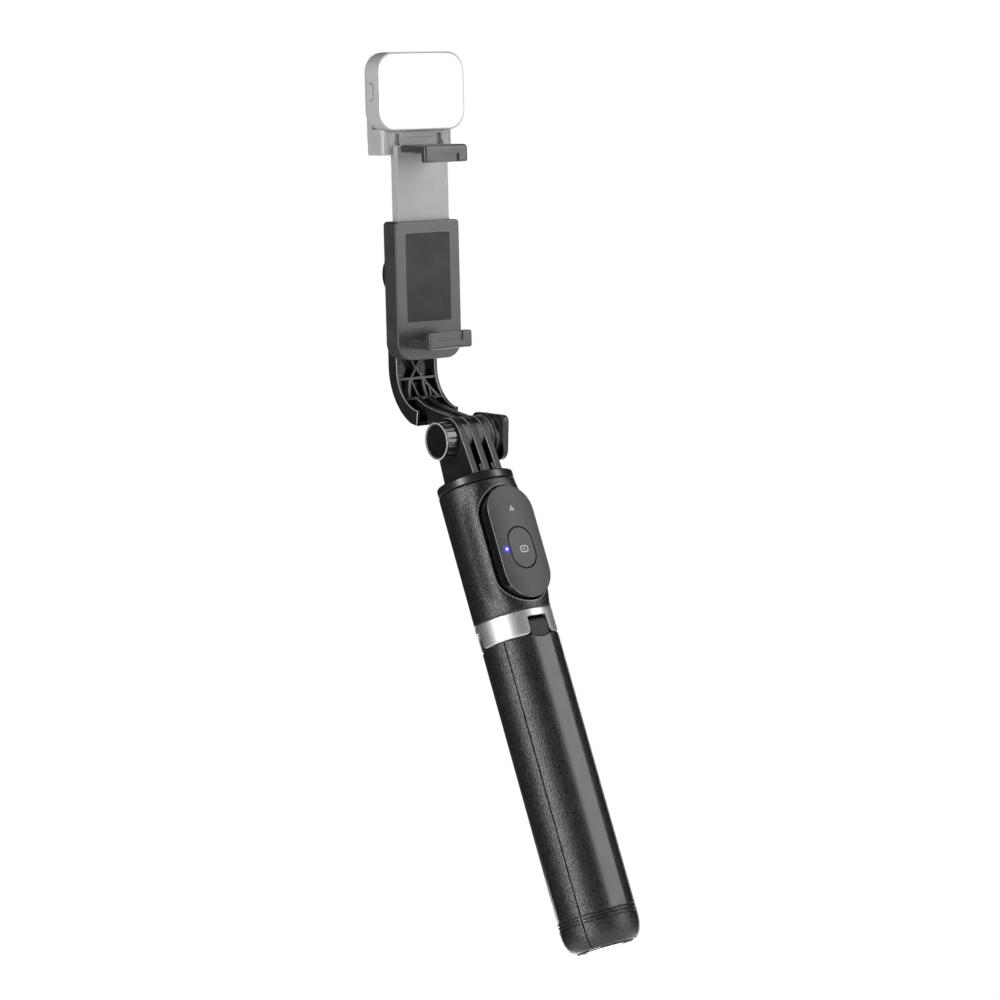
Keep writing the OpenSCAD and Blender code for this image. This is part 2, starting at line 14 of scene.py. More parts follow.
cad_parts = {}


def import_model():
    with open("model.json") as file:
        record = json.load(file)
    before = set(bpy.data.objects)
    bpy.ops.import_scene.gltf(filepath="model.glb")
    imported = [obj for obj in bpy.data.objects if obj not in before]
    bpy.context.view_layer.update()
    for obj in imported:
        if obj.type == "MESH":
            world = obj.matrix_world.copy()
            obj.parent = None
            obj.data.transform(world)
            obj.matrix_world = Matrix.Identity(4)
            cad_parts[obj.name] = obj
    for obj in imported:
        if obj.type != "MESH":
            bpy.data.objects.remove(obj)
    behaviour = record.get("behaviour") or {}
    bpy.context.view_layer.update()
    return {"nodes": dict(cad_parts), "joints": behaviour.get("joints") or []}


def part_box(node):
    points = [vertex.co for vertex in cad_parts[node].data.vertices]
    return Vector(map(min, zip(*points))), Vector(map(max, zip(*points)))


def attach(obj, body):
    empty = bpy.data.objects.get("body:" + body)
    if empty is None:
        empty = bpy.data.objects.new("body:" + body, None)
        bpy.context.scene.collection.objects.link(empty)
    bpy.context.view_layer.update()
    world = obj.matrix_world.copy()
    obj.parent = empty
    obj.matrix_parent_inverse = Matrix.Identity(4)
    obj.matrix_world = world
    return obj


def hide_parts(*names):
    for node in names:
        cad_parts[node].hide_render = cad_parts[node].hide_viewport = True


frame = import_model()
NODES = frame["nodes"]
MM = 0.001


# ------------------------------------------------------------------ places from the frame

def joint(name):
    return next(j for j in frame["joints"] if j["name"] == name)


def mm_box(node):
    low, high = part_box(node)
    return Vector(low) / MM, Vector(high) / MM


collar_low, collar_high = mm_box("collar")
GRIP_R = collar_high.x
COLLAR_Z, SHELL_Z = collar_low.z, collar_high.z
CAP_Z = mm_box("fork_head")[0].z
SHELL_TOP = mm_box("handle_shell")[1].z
remote_low, remote_high = mm_box("remote_face")
SEAT_Z = (remote_low.z + remote_high.z) / 2
REMOTE_R = remote_high.x
REMOTE_HALF = (remote_high.z - remote_low.z) / 2 - REMOTE_R
FACE_Y = remote_low.y
BACK_Y = mm_box("remote_base")[1].y
button_low, button_high = mm_box("remote_button")
BUTTON_Z = (button_low.z + button_high.z) / 2
led_low, led_high = mm_box("remote_led")
LED_X = (led_low.x + led_high.x) / 2
HINGE_Z = joint("head_tilt")["pos_m"][2] / MM
slide_axis = joint("clamp_slide")["axis"]
TILT = math.atan2(-slide_axis[1], slide_axis[2])
HEAD = Matrix.Translation((0, 0, HINGE_Z * MM)) @ Matrix.Rotation(TILT, 4, "X")
LEG_ANGLES = {"leg_front": -90, "leg_right": 30, "leg_left": 150}


# ------------------------------------------------------------------ outlines

def unit(value):
    """The value held between 0 and 1."""
    return min(max(value, 0), 1)


def arc(cx, cy, r, a0, a1, n=12):
    """Points of an arc, degrees."""
    steps = [math.radians(a0 + (a1 - a0) * i / n) for i in range(n + 1)]
    return [(cx + r * math.cos(a), cy + r * math.sin(a)) for a in steps]


def circle(r, cx=0.0, cy=0.0, n=48):
    return arc(cx, cy, r, 0, 360 * (n - 1) / n, n - 1)


def slot(half, r, cy=0.0, cx=0.0, n=24):
    """A rounded bar standing along its second axis."""
    return arc(cx, cy + half, r, 0, 180, n) + arc(cx, cy - half, r, 180, 360, n)


def box_outline(w, h, r, cx=0.0, cy=0.0):
    x, y = w / 2, h / 2
    return [(cx - x, cy - y, r), (cx + x, cy - y, r), (cx + x, cy + y, r), (cx - x, cy + y, r)]


def inset(outline, d=0.0, n=8):
    """Points of a counter-clockwise outline moved inwards by d.

    An entry (x, y, r) is a corner rounded to r, an entry (x, y) stays one point."""
    out = []
    count = len(outline)
    for i, entry in enumerate(outline):
        p = Vector(entry[:2])
        before = (p - Vector(outline[i - 1][:2])).normalized()
        after = (Vector(outline[(i + 1) % count][:2]) - p).normalized()
        n1, n2 = Vector((-before.y, before.x)), Vector((-after.y, after.x))
        corner = p + (n1 + n2) * (d / max(0.25, 1 + n1.dot(n2)))
        if len(entry) < 3:
            out.append(tuple(corner))
            continue
        r = entry[2]
        convex = before.cross(after) > 0
        r = max(r - d, 0) if convex else (r + d if r > 0 else 0)
        if r == 0:
            out += [tuple(corner)] * (n + 1)
            continue
        u, w = -before, after
        half = u.angle(w) / 2
        start = corner + u * (r / math.tan(half))
        centre = corner + (u + w).normalized() * (r / math.sin(half))
        s = start - centre
        sweep = (math.pi - 2 * half) * (1 if convex else -1)
        for k in range(n + 1):
            c, e = math.cos(sweep * k / n), math.sin(sweep * k / n)
            out.append((centre.x + s.x * c - s.y * e, centre.y + s.x * e + s.y * c))
    return out


# ------------------------------------------------------------------ solids

def mesh_object(name, verts, faces):
    mesh = bpy.data.meshes.new(name)
    mesh.from_pydata([tuple(v) for v in verts], [], faces)
    bm = bmesh.new()
    bm.from_mesh(mesh)
    bmesh.ops.remove_doubles(bm, verts=bm.verts, dist=1e-4)
    bmesh.ops.dissolve_degenerate(bm, edges=bm.edges, dist=1e-5)
    bmesh.ops.recalc_face_normals(bm, faces=bm.faces)
    bm.to_mesh(mesh)
    bm.free()
    obj = bpy.data.objects.new(name, mesh)
    bpy.context.scene.collection.objects.link(obj)
    return obj


def loft(name, rings, caps=True, loop=False):
    """A skin through rings of equally many points, capped at both ends."""
    n = len(rings[0])
    verts = [p for ring in rings for p in ring]
    faces = []
    spans = len(rings) if loop else len(rings) - 1
    for i in range(spans):
        a, b = i * n, ((i + 1) % len(rings)) * n
        faces += [(a + j, a + (j + 1) % n, b + (j + 1) % n, b + j) for j in range(n)]
    if caps and not loop:
        faces += [tuple(range(n)), tuple(range((len(rings) - 1) * n, len(rings) * n))]
    return mesh_object(name, verts, faces)


AXES = {"x": lambda a, b, c: (c, a, b), "y": lambda a, b, c: (a, c, b),
        "z": lambda a, b, c: (a, b, c)}


def prism(name, outline, c0, c1, r0=0.3, r1=0.3, axis="y", steps=4, n=8):
    """The outline extruded from c0 to c1 along axis, with its two rims rounded."""
    to3d = AXES[axis]
    levels = []
    for i in range(steps + 1 if r0 else 1):
        t = math.pi / 2 * i / steps
        levels.append((r0 * (1 - math.sin(t)), c0 + r0 * (1 - math.cos(t))))
    for i in range(steps if r1 else 0, -1, -1):
        t = math.pi / 2 * i / steps
        levels.append((r1 * (1 - math.sin(t)), c1 - r1 * (1 - math.cos(t))))
    return loft(name, [[to3d(a, b, c) for a, b in inset(outline, d, n)] for d, c in levels])


def revolve(name, profile, axis="z", n=128):
    """The closed (radius, height) profile turned about axis."""
    rings = []
    for i in range(n):
        t = 2 * math.pi * i / n
        rings.append([AXES[axis](r * math.cos(t), r * math.sin(t), h) for r, h in profile])
    return loft(name, rings, loop=True)


def apply_modifiers(obj):
    graph = bpy.context.evaluated_depsgraph_get()
    mesh = bpy.data.meshes.new_from_object(obj.evaluated_get(graph))
    obj.modifiers.clear()
    obj.data = mesh


def boolean(target, tools, operation="DIFFERENCE"):
    """Cuts the tools from the target, or joins or intersects them, and uses the tools up."""
    for tool in tools:
        mod = target.modifiers.new("cut", "BOOLEAN")
        mod.operation = operation
        mod.solver = "EXACT"
        mod.object = tool
        apply_modifiers(target)
        bpy.data.objects.remove(tool, do_unlink=True)
    return target


def joined(target, *tools):
    return boolean(target, tools, "UNION")


def soften(obj, width, angle=40, segments=2):
    """Rounds what edges the cuts left sharp."""
    mod = obj.modifiers.new("soften", "BEVEL")
    mod.width = width
    mod.segments = segments
    mod.limit_method = "ANGLE"
    mod.angle_limit = math.radians(angle)
    mod.use_clamp_overlap = True
    apply_modifiers(obj)
    return obj


def moved(obj, matrix):
    obj.data.transform(matrix)
    return obj


def smooth(obj, angle=32):
    obj.data.shade_smooth()
    obj.data.set_sharp_from_angle(angle=math.radians(angle))
    mod = obj.modifiers.new("normals", "WEIGHTED_NORMAL")
    mod.keep_sharp = True
    mod.weight = 60


def piece(obj, body, material, head=False, hides=(), angle=32):
    """Puts a finished shape in the frame, on its body."""
    obj.data.transform(Matrix.Scale(MM, 4))
    if head:
        obj.data.transform(HEAD)
    obj.data.materials.clear()
    obj.data.materials.append(material)
    smooth(obj, angle)
    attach(obj, body)
    if hides:
        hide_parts(*hides)
    return obj


# ------------------------------------------------------------------ materials

class Shader:
    """A small helper for node trees."""

    def __init__(self, name):
        self.material = bpy.data.materials.new(name)
        self.material.use_nodes = True
        self.tree = self.material.node_tree
        self.tree.nodes.clear()
        self.out = self.add("ShaderNodeOutputMaterial")
        self.bsdf = self.add("ShaderNodeBsdfPrincipled")
        self.link(self.bsdf, "BSDF", self.out, "Surface")
        self.where = self.add("ShaderNodeTexCoord")

    def add(self, kind, **settings):
        made = self.tree.nodes.new(kind)
        for key, value in settings.items():
            if hasattr(made, key):
                setattr(made, key, value)
            else:
                made.inputs[key.replace("_", " ")].default_value = value
        return made

    def link(self, a, a_out, b, b_in):
        self.tree.links.new(a.outputs[a_out], b.inputs[b_in])

    def noise(self, size_mm, detail=2.0, stretch=(1, 1, 1)):
        mapping = self.add("ShaderNodeMapping")
        mapping.inputs["Scale"].default_value = [s / (size_mm * MM) for s in stretch]
        made = self.add("ShaderNodeTexNoise", Scale=1.0, Detail=detail, Roughness=0.55)
        self.link(self.where, "Object", mapping, "Vector")
        self.link(mapping, "Vector", made, "Vector")
        return made

    def ramp(self, source, low, high, from_low=0.3, from_high=0.7, to=None):
        """Maps the source's factor from its own range to low and high."""
        made = self.add("ShaderNodeMapRange")
        made.inputs["From Min"].default_value = from_low
        made.inputs["From Max"].default_value = from_high
        made.inputs["To Min"].default_value = low
        made.inputs["To Max"].default_value = high
        self.link(source, "Fac" if "Fac" in source.outputs else 0, made, "Value")
        if to:
            self.link(made, "Result", self.bsdf, to)
        return made

    def fade(self, centre, near, far, start=0.0, end=1.0):
        """Runs smoothly from start to end between two distances, in metres, from centre."""
        away = self.add("ShaderNodeVectorMath", operation="DISTANCE")
        self.link(self.where, "Object", away, 0)
        away.inputs[1].default_value = centre
        made = self.add("ShaderNodeMapRange", interpolation_type="SMOOTHSTEP")
        made.inputs["From Min"].default_value = near
        made.inputs["From Max"].default_value = far
        made.inputs["To Min"].default_value = start
        made.inputs["To Max"].default_value = end
        self.link(away, "Value", made, "Value")
        return made

    def blend(self, factor, colour_a, colour_b):
        made = self.add("ShaderNodeMix", data_type="RGBA")
        made.inputs[6].default_value = (*colour_a, 1)
        made.inputs[7].default_value = (*colour_b, 1)
        self.link(factor, "Result", made, "Factor")
        return made


def plastic(name, colour, rough, grain_mm=0.25, grain=0.25, mottle=0.15, edge_mm=0.2,
            specular=0.5, wear_and_sheen=0.5, worn_and_lit_edge=None, sparkle=0.0, halo=None):
    """Moulded plastic: fine grain in the bump, soft mottling, edges lighter all round, partly as wear
    and partly as a painted highlight.

    halo is a lamp's light spreading in the plastic, as (colour, strength, size_mm, centre)."""
    s = Shader(name)
    s.bsdf.inputs["Specular IOR Level"].default_value = specular
    light = [min(1, c * (1 + mottle) + 0.002) for c in colour]
    dark = [c * (1 - mottle) for c in colour]
    cloud = s.ramp(s.noise(9, 3.0), 0, 1)
    tint = s.blend(cloud, dark, light)
    # edges lightened from the bevel normal: partly wear, partly a painted highlight on every edge
    bevel = s.add("ShaderNodeBevel", samples=4, Radius=edge_mm * MM)
    geometry = s.add("ShaderNodeNewGeometry")
    dot = s.add("ShaderNodeVectorMath", operation="DOT_PRODUCT")
    s.link(bevel, "Normal", dot, 0)
    s.link(geometry, "Normal", dot, 1)
    edge = s.add("ShaderNodeMapRange")
    edge.inputs["From Min"].default_value = 0.995
    edge.inputs["From Max"].default_value = 0.8
    edge.inputs["To Max"].default_value = wear_and_sheen
    s.link(dot, "Value", edge, "Value")
    worn_and_lit = s.add("ShaderNodeMix", data_type="RGBA")
    s.link(edge, "Result", worn_and_lit, "Factor")
    s.link(tint, 2, worn_and_lit, 6)
    worn_and_lit.inputs[7].default_value = (*[worn_and_lit_edge or min(1, c * 2.2 + 0.03) for c in colour], 1)
    s.link(worn_and_lit, 2, s.bsdf, "Base Color")
    if sparkle:
        s.ramp(s.noise(grain_mm * 1.2, 1.0), rough - sparkle, rough + sparkle, to="Roughness")
    else:
        s.ramp(s.noise(14, 2.0), rough - 0.015, rough + 0.02, to="Roughness")
    bump = s.add("ShaderNodeBump", Strength=grain, Distance=grain_mm * MM * 0.5)
    s.link(s.noise(grain_mm, 1.5), "Fac", bump, "Height")
    s.link(bevel, "Normal", bump, "Normal")
    s.link(bump, "Normal", s.bsdf, "Normal")
    if halo:
        tone, strength, size_mm, centre = halo
        s.bsdf.inputs["Emission Color"].default_value = (*tone, 1)
        glow = s.fade(centre, size_mm * MM * 0.45, size_mm * MM, strength, 0)
        s.link(glow, "Result", s.bsdf, "Emission Strength")
    return s.material


def metal(name, colour, rough, stretch, line_mm=0.12, strength=0.12):
    """Turned, drawn or brushed metal: long fine lines in roughness and bump."""
    s = Shader(name)
    s.bsdf.inputs["Metallic"].default_value = 1.0
    lines = s.noise(line_mm, 3.0, stretch)
    shade = s.ramp(lines, 0, 1)
    tint = s.blend(shade, [c * 0.9 for c in colour], [min(1, c * 1.05) for c in colour])
    s.link(tint, 2, s.bsdf, "Base Color")
    s.ramp(lines, rough - 0.03, rough + 0.04, to="Roughness")
    bevel = s.add("ShaderNodeBevel", samples=4, Radius=0.1 * MM)
    bump = s.add("ShaderNodeBump", Strength=strength, Distance=0.02 * MM)
    s.link(lines, "Fac", bump, "Height")
    s.link(bevel, "Normal", bump, "Normal")
    s.link(bump, "Normal", s.bsdf, "Normal")
    return s.material


def rubber(name, colour):
    return plastic(name, colour, 0.8, grain_mm=0.15, grain=0.4, specular=0.3)


def lamp(name, core, colour, size_mm, centre):
    """A lit face: core in the middle and colour at its edge, each an (r, g, b, strength)."""
    s = Shader(name)
    s.bsdf.inputs["Base Color"].default_value = (*(0.3 * c for c in colour[:3]), 1)
    s.bsdf.inputs["Roughness"].default_value = 0.35
    fade = s.fade(centre, size_mm * MM * 0.25, size_mm * MM)
    s.link(s.blend(fade, core[:3], colour[:3]), 2, s.bsdf, "Emission Color")
    level = s.add("ShaderNodeMapRange", interpolation_type="SMOOTHSTEP")
    level.inputs["To Min"].default_value = core[3]
    level.inputs["To Max"].default_value = colour[3]
    s.link(fade, "Result", level, "Value")
    s.link(level, "Result", s.bsdf, "Emission Strength")
    return s.material


LED_AT = (LED_X * MM, FACE_Y * MM, BUTTON_Z * MM)
GRIP_BLACK = (0.005, 0.005, 0.0052)
HINGE_BLACK = (0.006, 0.006, 0.0062)
TEXTURED = plastic("black_texture", GRIP_BLACK, 0.34, grain_mm=0.5, grain=0.85, wear_and_sheen=0.15,
                   sparkle=0.14)
STRIP = plastic("black_strip", GRIP_BLACK, 0.36, grain_mm=0.5, grain=0.2, wear_and_sheen=0.1)
SATIN = plastic("black_satin", GRIP_BLACK, 0.33, grain_mm=0.3, grain=0.05, worn_and_lit_edge=0.06)
# these three lighten their edges strongly: a painted highlight along their rounded edges, on top of
# wear
FORK = plastic("black_fork", HINGE_BLACK, 0.42, grain=0.05, specular=0.26, edge_mm=0.25,
               wear_and_sheen=1.0, worn_and_lit_edge=0.2)
ARM = plastic("black_arm", HINGE_BLACK, 0.38, grain_mm=0.3, grain=0.08, specular=0.36,
              edge_mm=0.3, wear_and_sheen=0.9, worn_and_lit_edge=0.12)
KNOB = plastic("black_knob", (0.004, 0.004, 0.0041), 0.24, grain=0.04, edge_mm=0.3, wear_and_sheen=1.0,
               worn_and_lit_edge=0.35)
# painted highlight: a lighter plastic for the ring round the knob's face
RIM_HIGHLIGHT = plastic("painted_rim_highlight", (0.3, 0.3, 0.3), 0.3, grain=0.04)
# painted highlight: a lighter plastic for the seat's bead and the remote front's left edge
LIP_HIGHLIGHT = plastic("painted_lip_highlight", (0.13, 0.13, 0.131), 0.25, grain=0.03)
# painted highlight: a lighter plastic for the left front rounded edges of fork and arm, where the key
# light falls
EDGE_HIGHLIGHT = plastic("painted_edge_highlight", (0.24, 0.24, 0.242), 0.3, grain=0.05)
TONGUE = plastic("black_tongue", GRIP_BLACK, 0.5, grain=0.1, specular=0.25, wear_and_sheen=0.1)
GLOSS = plastic("black_gloss", (0.004, 0.004, 0.004), 0.14, grain=0.03, mottle=0.05, wear_and_sheen=0.02)
FACE = plastic("remote_satin", (0.011, 0.011, 0.0113), 0.42, grain_mm=0.3, grain=0.05, mottle=0.1,
               specular=0.36, wear_and_sheen=0.3, halo=((0.03, 0.03, 1.0), 0.5, 2.2, LED_AT))
DARK = plastic("dark_plastic", (0.022, 0.022, 0.0225), 0.36, grain_mm=0.4, grain=0.12, worn_and_lit_edge=0.12)
LED_GLOW = lamp("blue_glow", (0.8, 0.8, 1.0, 2.0), (0.02, 0.02, 1.0, 1.3), 0.85, LED_AT)
GREY = plastic("grey_plastic", (0.22, 0.22, 0.223), 0.36, grain_mm=0.4, grain=0.25, mottle=0.05)
HOUSING = plastic("housing_grey", (0.25, 0.25, 0.253), 0.34, grain_mm=0.4, grain=0.12, mottle=0.05)
PRINT = plastic("print_grey", (0.3, 0.3, 0.3), 0.5, grain=0.05)
RUBBER = rubber("rubber", (0.03, 0.03, 0.03))
COLLAR = metal("turned_aluminium", (0.5, 0.5, 0.505), 0.46, (0.05, 0.05, 1), strength=0.1)
STEEL = metal("drawn_steel", (0.6, 0.6, 0.61), 0.3, (1, 1, 0.01), line_mm=0.3, strength=0.03)
BRASS = metal("brass", (0.75, 0.56, 0.27), 0.35, (1, 1, 0.02))
FOIL = metal("foil", (0.7, 0.7, 0.72), 0.4, (0.2, 0.2, 1))
BOARD = plastic("board_green", (0.02, 0.12, 0.05), 0.3, grain=0.1)
CHIP = plastic("led_chip", (0.85, 0.7, 0.2), 0.5, grain=0.05)


def paint(material, *names):
    """Gives carried-over CAD nodes their material."""
    for name in names:
        mesh = NODES[name].data
        mesh.materials.clear()
        mesh.materials.append(material)


# ------------------------------------------------------------------ handle

SHELL_WALL = 2.5
SEAT_RIM = REMOTE_R + 1.0
SEAT_HIGH = GRIP_R + 1.2
SEAT_BLEND = 7.0
LOW_ROUND, TOP_ROUND = 0.35, 0.45


def round_off(near, r):
    """How far an edge rounded to r is trimmed, near being 1 at the edge and 0 where it starts."""
    return r * (1 - math.sqrt(max(0, 1 - near ** 2)))


def seat_radius(phi, z):
    """Radius of the handle body at phi from its front: round, with a lip round the remote."""
    rim, high = SEAT_RIM, SEAT_HIGH
    stretch = rim / (GRIP_R * math.asin(rim / high))
    away = math.hypot(phi * GRIP_R * stretch, max(abs(z - SEAT_Z) - REMOTE_HALF, 0)) - rim
    side = min(1.0, abs(math.sin(phi)) * high / rim)
    t = unit(away / SEAT_BLEND)
    return GRIP_R + (0.15 + 1.05 * side ** 2) * (1 - t) ** 2 * (1 + 2 * t)


def handle_shell():
    around = 200
    straight = SHELL_TOP - SHELL_Z - LOW_ROUND - TOP_ROUND
    zs = [SHELL_Z + LOW_ROUND * k / 3 for k in range(3)]
    zs += [SHELL_Z + LOW_ROUND + straight * k / 110 for k in range(111)]
    zs += [SHELL_TOP - TOP_ROUND + TOP_ROUND * k / 4 for k in range(1, 5)]
    rings = []
    for z in zs:
        low = max(0, 1 - (z - SHELL_Z) / LOW_ROUND)
        high = max(0, 1 - (SHELL_TOP - z) / TOP_ROUND)
        trim = round_off(low, LOW_ROUND) + round_off(high, TOP_ROUND)
        ring = []
        for i in range(around):
            phi = 2 * math.pi * i / around
            wrapped = phi if phi <= math.pi else phi - 2 * math.pi
            r = seat_radius(wrapped, z) - trim
            ring.append((r * math.sin(phi), -r * math.cos(phi), z))
        rings.append(ring)
    shell = loft("handle_body", rings)
    bore = prism("bore", circle(GRIP_R - SHELL_WALL, n=96), SHELL_Z - 1, SHELL_TOP - 2.4, 0, 0, "z")
    hole = prism("hole", circle(7.6, n=64), SHELL_Z, SHELL_TOP + 2, 0, 0, "z")
    pocket = prism("pocket", slot(REMOTE_HALF, SEAT_RIM, SEAT_Z), FACE_Y - 6, BACK_Y + 0.1, 0, 0)
    boolean(shell, [bore, hole, pocket])
    soften(shell, 0.22, 50)
    return piece(shell, "handle", TEXTURED, hides=["handle_shell"], angle=40)


def seat_lip(bead=0.32):
    """Glossy bead along the lip of the remote's seat, lighter than the black: a painted highlight."""
    rings = []
    path = slot(REMOTE_HALF, REMOTE_R + 1.05, SEAT_Z, n=48)
    for k, (x, z) in enumerate(path):
        after, before = path[(k + 1) % len(path)], path[k - 1]
        side = Vector((after[1] - before[1], 0, before[0] - after[0])).normalized()
        phi = math.asin(min(1, abs(x) / SEAT_HIGH))
        r = seat_radius(phi, z)
        y = -math.sqrt(max(r * r - x * x, 0))
        out = Vector((x / r, y / r, 0))
        middle = Vector((x, y, z)) - out * (bead * 0.55)
        rings.append([tuple(middle + side * bead * math.cos(t) + out * bead * math.sin(t))
                      for t in (2 * math.pi * i / 10 for i in range(10))])
    lip = loft("seat_lip", rings, caps=False, loop=True)
    return piece(lip, "handle", LIP_HIGHLIGHT)


FOOT_Z, FOOT_RISE, FOOT_PULL = 0.4, 9.0, 4.3
LEG_HALF = math.radians(60)
LEG_EDGE = 0.4
FLAT_R = GRIP_R - 0.53
FLAT_FOOT_Z = 14.2
GROOVES = (11.0, 12.3, 13.7)
GROOVE_DEPTH, GROOVE_HALF = 0.42, 0.24
GROOVE_END = math.radians(56.2)
RECESS_R = 14.95


def recess_edge(across):
    """Height where the leg steps back to its tongue, lowest in the middle."""
    return COLLAR_Z - 1.7 + 2.0 * (across / 6.4) ** 2


def leg_outer(psi, z):
    """Outer radius of a closed leg at angle psi (radians) from its middle."""
    up = unit((z - FOOT_Z) / FOOT_RISE)
    r = GRIP_R - FOOT_PULL * (1 - math.sqrt(1 - (1 - up) ** 2))
    shrink = GRIP_R - r
    flat = (FLAT_R - shrink) / math.cos(psi)
    flat += 1.2 * unit((FLAT_FOOT_Z - z) / 1.2)
    # the strip meets the round at a crisp line on one side and a soft one on the other
    soft = 0.16 if psi > 0 else 0.5
    mix = unit(0.5 + (flat - r) / (2 * soft))
    out = flat * (1 - mix) + r * mix - soft * mix * (1 - mix)
    for groove in GROOVES:
        mask = unit((GROOVE_END - abs(psi)) / 0.03)
        out -= GROOVE_DEPTH * mask * math.exp(-((z - groove) / GROOVE_HALF) ** 4)
    near = max(0, 1 - (LEG_HALF - abs(psi)) * GRIP_R / LEG_EDGE)
    out -= round_off(near, LEG_EDGE)
    # the curved recess below the collar's notch
    t = unit((z - recess_edge(out * math.sin(psi))) / 0.5)
    return out + (min(out, RECESS_R / math.cos(psi)) - out) * t * t * (3 - 2 * t)


def leg(name):
    turn = math.radians(LEG_ANGLES[name])
    top = COLLAR_Z - 0.3
    bore = GRIP_R - 3.4
    gap = 0.15
    half = LEG_HALF - gap / GRIP_R
    edge = LEG_EDGE / GRIP_R / half
    psis = sorted({round(half * s * (1 - edge * (1 - math.sin(k * math.pi / 10))), 6)
                   for k in range(5) for s in (-1, 1)}
                  | {round(half * 0.97 * k / 44, 6) for k in range(-44, 45)})
    zs = [0.4 + 9 * (1 - math.cos(k * math.pi / 36)) for k in range(19)]
    zs += [9.9 + 0.11 * k for k in range(44)]
    zs += [15 + (top - 20) * k / 12 for k in range(13)]
    zs += [top - 4.8 + 0.16 * k for k in range(27)]
    zs += [top - 0.4 * (1 - math.sin(k * math.pi / 8)) for k in range(1, 5)]
    rings = []
    for z in zs:
        ease = max(0, 1 - (top - z) / 0.4)
        trim = round_off(ease, 0.3)
        inner = 8.6 if z < 12 else bore
        outer = [(leg_outer(p, z) - trim, p) for p in psis]
        back = [(inner, psis[-1] * 0.985 - k * psis[-1] * 1.97 / 24) for k in range(25)]
        rings.append([(r * math.cos(p), r * math.sin(p), z) for r, p in outer + back])
    body = loft(name + "_leg", rings)
    # the tongue that rises into the collar's notch
    tip = 132.8
    side_view = [(9.9, top - 9, 0), (14.9, top - 9, 0), (14.9, tip, 2.5), (9.7, tip, 2.5)]
    tongue = prism("tongue", side_view, -4.35, 4.35, 0.3, 0.3, "y")
    joined(body, tongue)
    moved(body, Matrix.Rotation(turn, 4, "Z"))
    made = piece(body, name, TEXTURED, hides=[name], angle=36)
    made.data.materials.append(STRIP)
    made.data.materials.append(TONGUE)
    axis = Vector((math.cos(turn), math.sin(turn), 0))
    side = Vector((-axis.y, axis.x, 0))
    for face in made.data.polygons:
        across = face.center.dot(side)
        if face.center.z > recess_edge(across / MM) * MM and abs(across) < 6.8 * MM:
            face.material_index = 2
        elif face.normal.dot(axis) > 0.975 and face.center.z > 14.4 * MM:
            face.material_index = 1
    return made


def collar():
    inner = GRIP_R - 1.8
    z0, z1 = COLLAR_Z, SHELL_Z
    edge = 0.55
    ring = revolve("collar_ring", [(inner, z0), (GRIP_R - edge, z0), (GRIP_R - 0.1, z0 + edge),
                                   (GRIP_R, z0 + edge + 0.25), (GRIP_R, z1 - edge - 0.25),
                                   (GRIP_R - 0.1, z1 - edge), (GRIP_R - edge, z1), (inner, z1)],
                   n=192)
    half, high, low = 4.75, z0 + 7.3, z0 - 0.02
    notch = [(-14, z0 - 4, 0), (14, z0 - 4, 0), (14, low, 0), (half, low, 2.2),
             (half, high, 0.8), (-half, high, 0.8), (-half, low, 2.2), (-14, low, 0)]
    cuts = []
    for degrees in LEG_ANGLES.values():
        cut = prism("notch", notch, 9, 22, 0, 0, "x")
        cuts.append(moved(cut, Matrix.Rotation(math.radians(degrees), 4, "Z")))
    boolean(ring, cuts)
    soften(ring, 0.18, 50)
    return piece(ring, "handle", COLLAR, hides=["collar"])


# ------------------------------------------------------------------ remote

CROWN = 0.6
FRONT_EDGE = FACE_Y + CROWN


def remote_body():
    edge = FRONT_EDGE
    cover = prism("remote_cover", slot(REMOTE_HALF, REMOTE_R, SEAT_Z), edge + 0.32, edge + 4.9, 0.05,
                  0.3, steps=5)
    tray = prism("remote_tray", slot(REMOTE_HALF, REMOTE_R - 0.8, SEAT_Z), edge + 4, BACK_Y, 0.2, 0.5)
    joined(cover, tray)
    inside = prism("inside", slot(REMOTE_HALF, REMOTE_R - 1.4, SEAT_Z), FACE_Y - 1, BACK_Y - 0.8, 0, 0)
    boolean(cover, [inside])
    return piece(cover, "remote", GLOSS, hides=["remote_base"])


def remote_front():
    """Crowned front, drawn as insets that rise towards the middle."""
    edge = FRONT_EDGE
    outer = slot(REMOTE_HALF, REMOTE_R - 0.06, SEAT_Z)
    rings = [[(a, edge + 1.6, b) for a, b in inset(outer)]]
    rings += [[(a, edge + 0.5 - 0.42 * math.sin(t), b) for a, b in
               inset(outer, 0.42 * (1 - math.cos(t)))] for t in (0, 0.35, 0.7, 1.05, 1.3)]
    for k in range(15):
        t = k / 14
        d = 0.42 + (REMOTE_R - 0.6) * t
        y = edge + 0.08 - (CROWN + 0.08) * (1 - (1 - t) ** 2)
        rings.append([(a, y, b) for a, b in inset(outer, d)])
    face = loft("remote_front", rings)
    opening = prism("opening", slot(2.75, 6.15, BUTTON_Z - 0.15), FACE_Y - 1, edge + 3, 0, 0)
    light_hole = prism("light_hole", circle(1.0, LED_X, BUTTON_Z, 32), FACE_Y - 1, edge + 3, 0, 0)
    boolean(face, [opening, light_hole])
    soften(face, 0.1, 50)
    front = piece(face, "remote", FACE, hides=["remote_face"], angle=50)
    front.data.materials.append(GLOSS)
    front.data.materials.append(LIP_HIGHLIGHT)
    # the rounded edge of the front takes gloss black, and its left part, where the key light falls, a
    # lighter plastic: a painted highlight
    for polygon in front.data.polygons:
        if -0.9 < polygon.normal.y < 0.5 and polygon.center.y < (edge + 0.6) * MM:
            left = polygon.normal.x < -0.3 and polygon.normal.y < -0.25
            polygon.material_index = 2 if left else 1
    return front


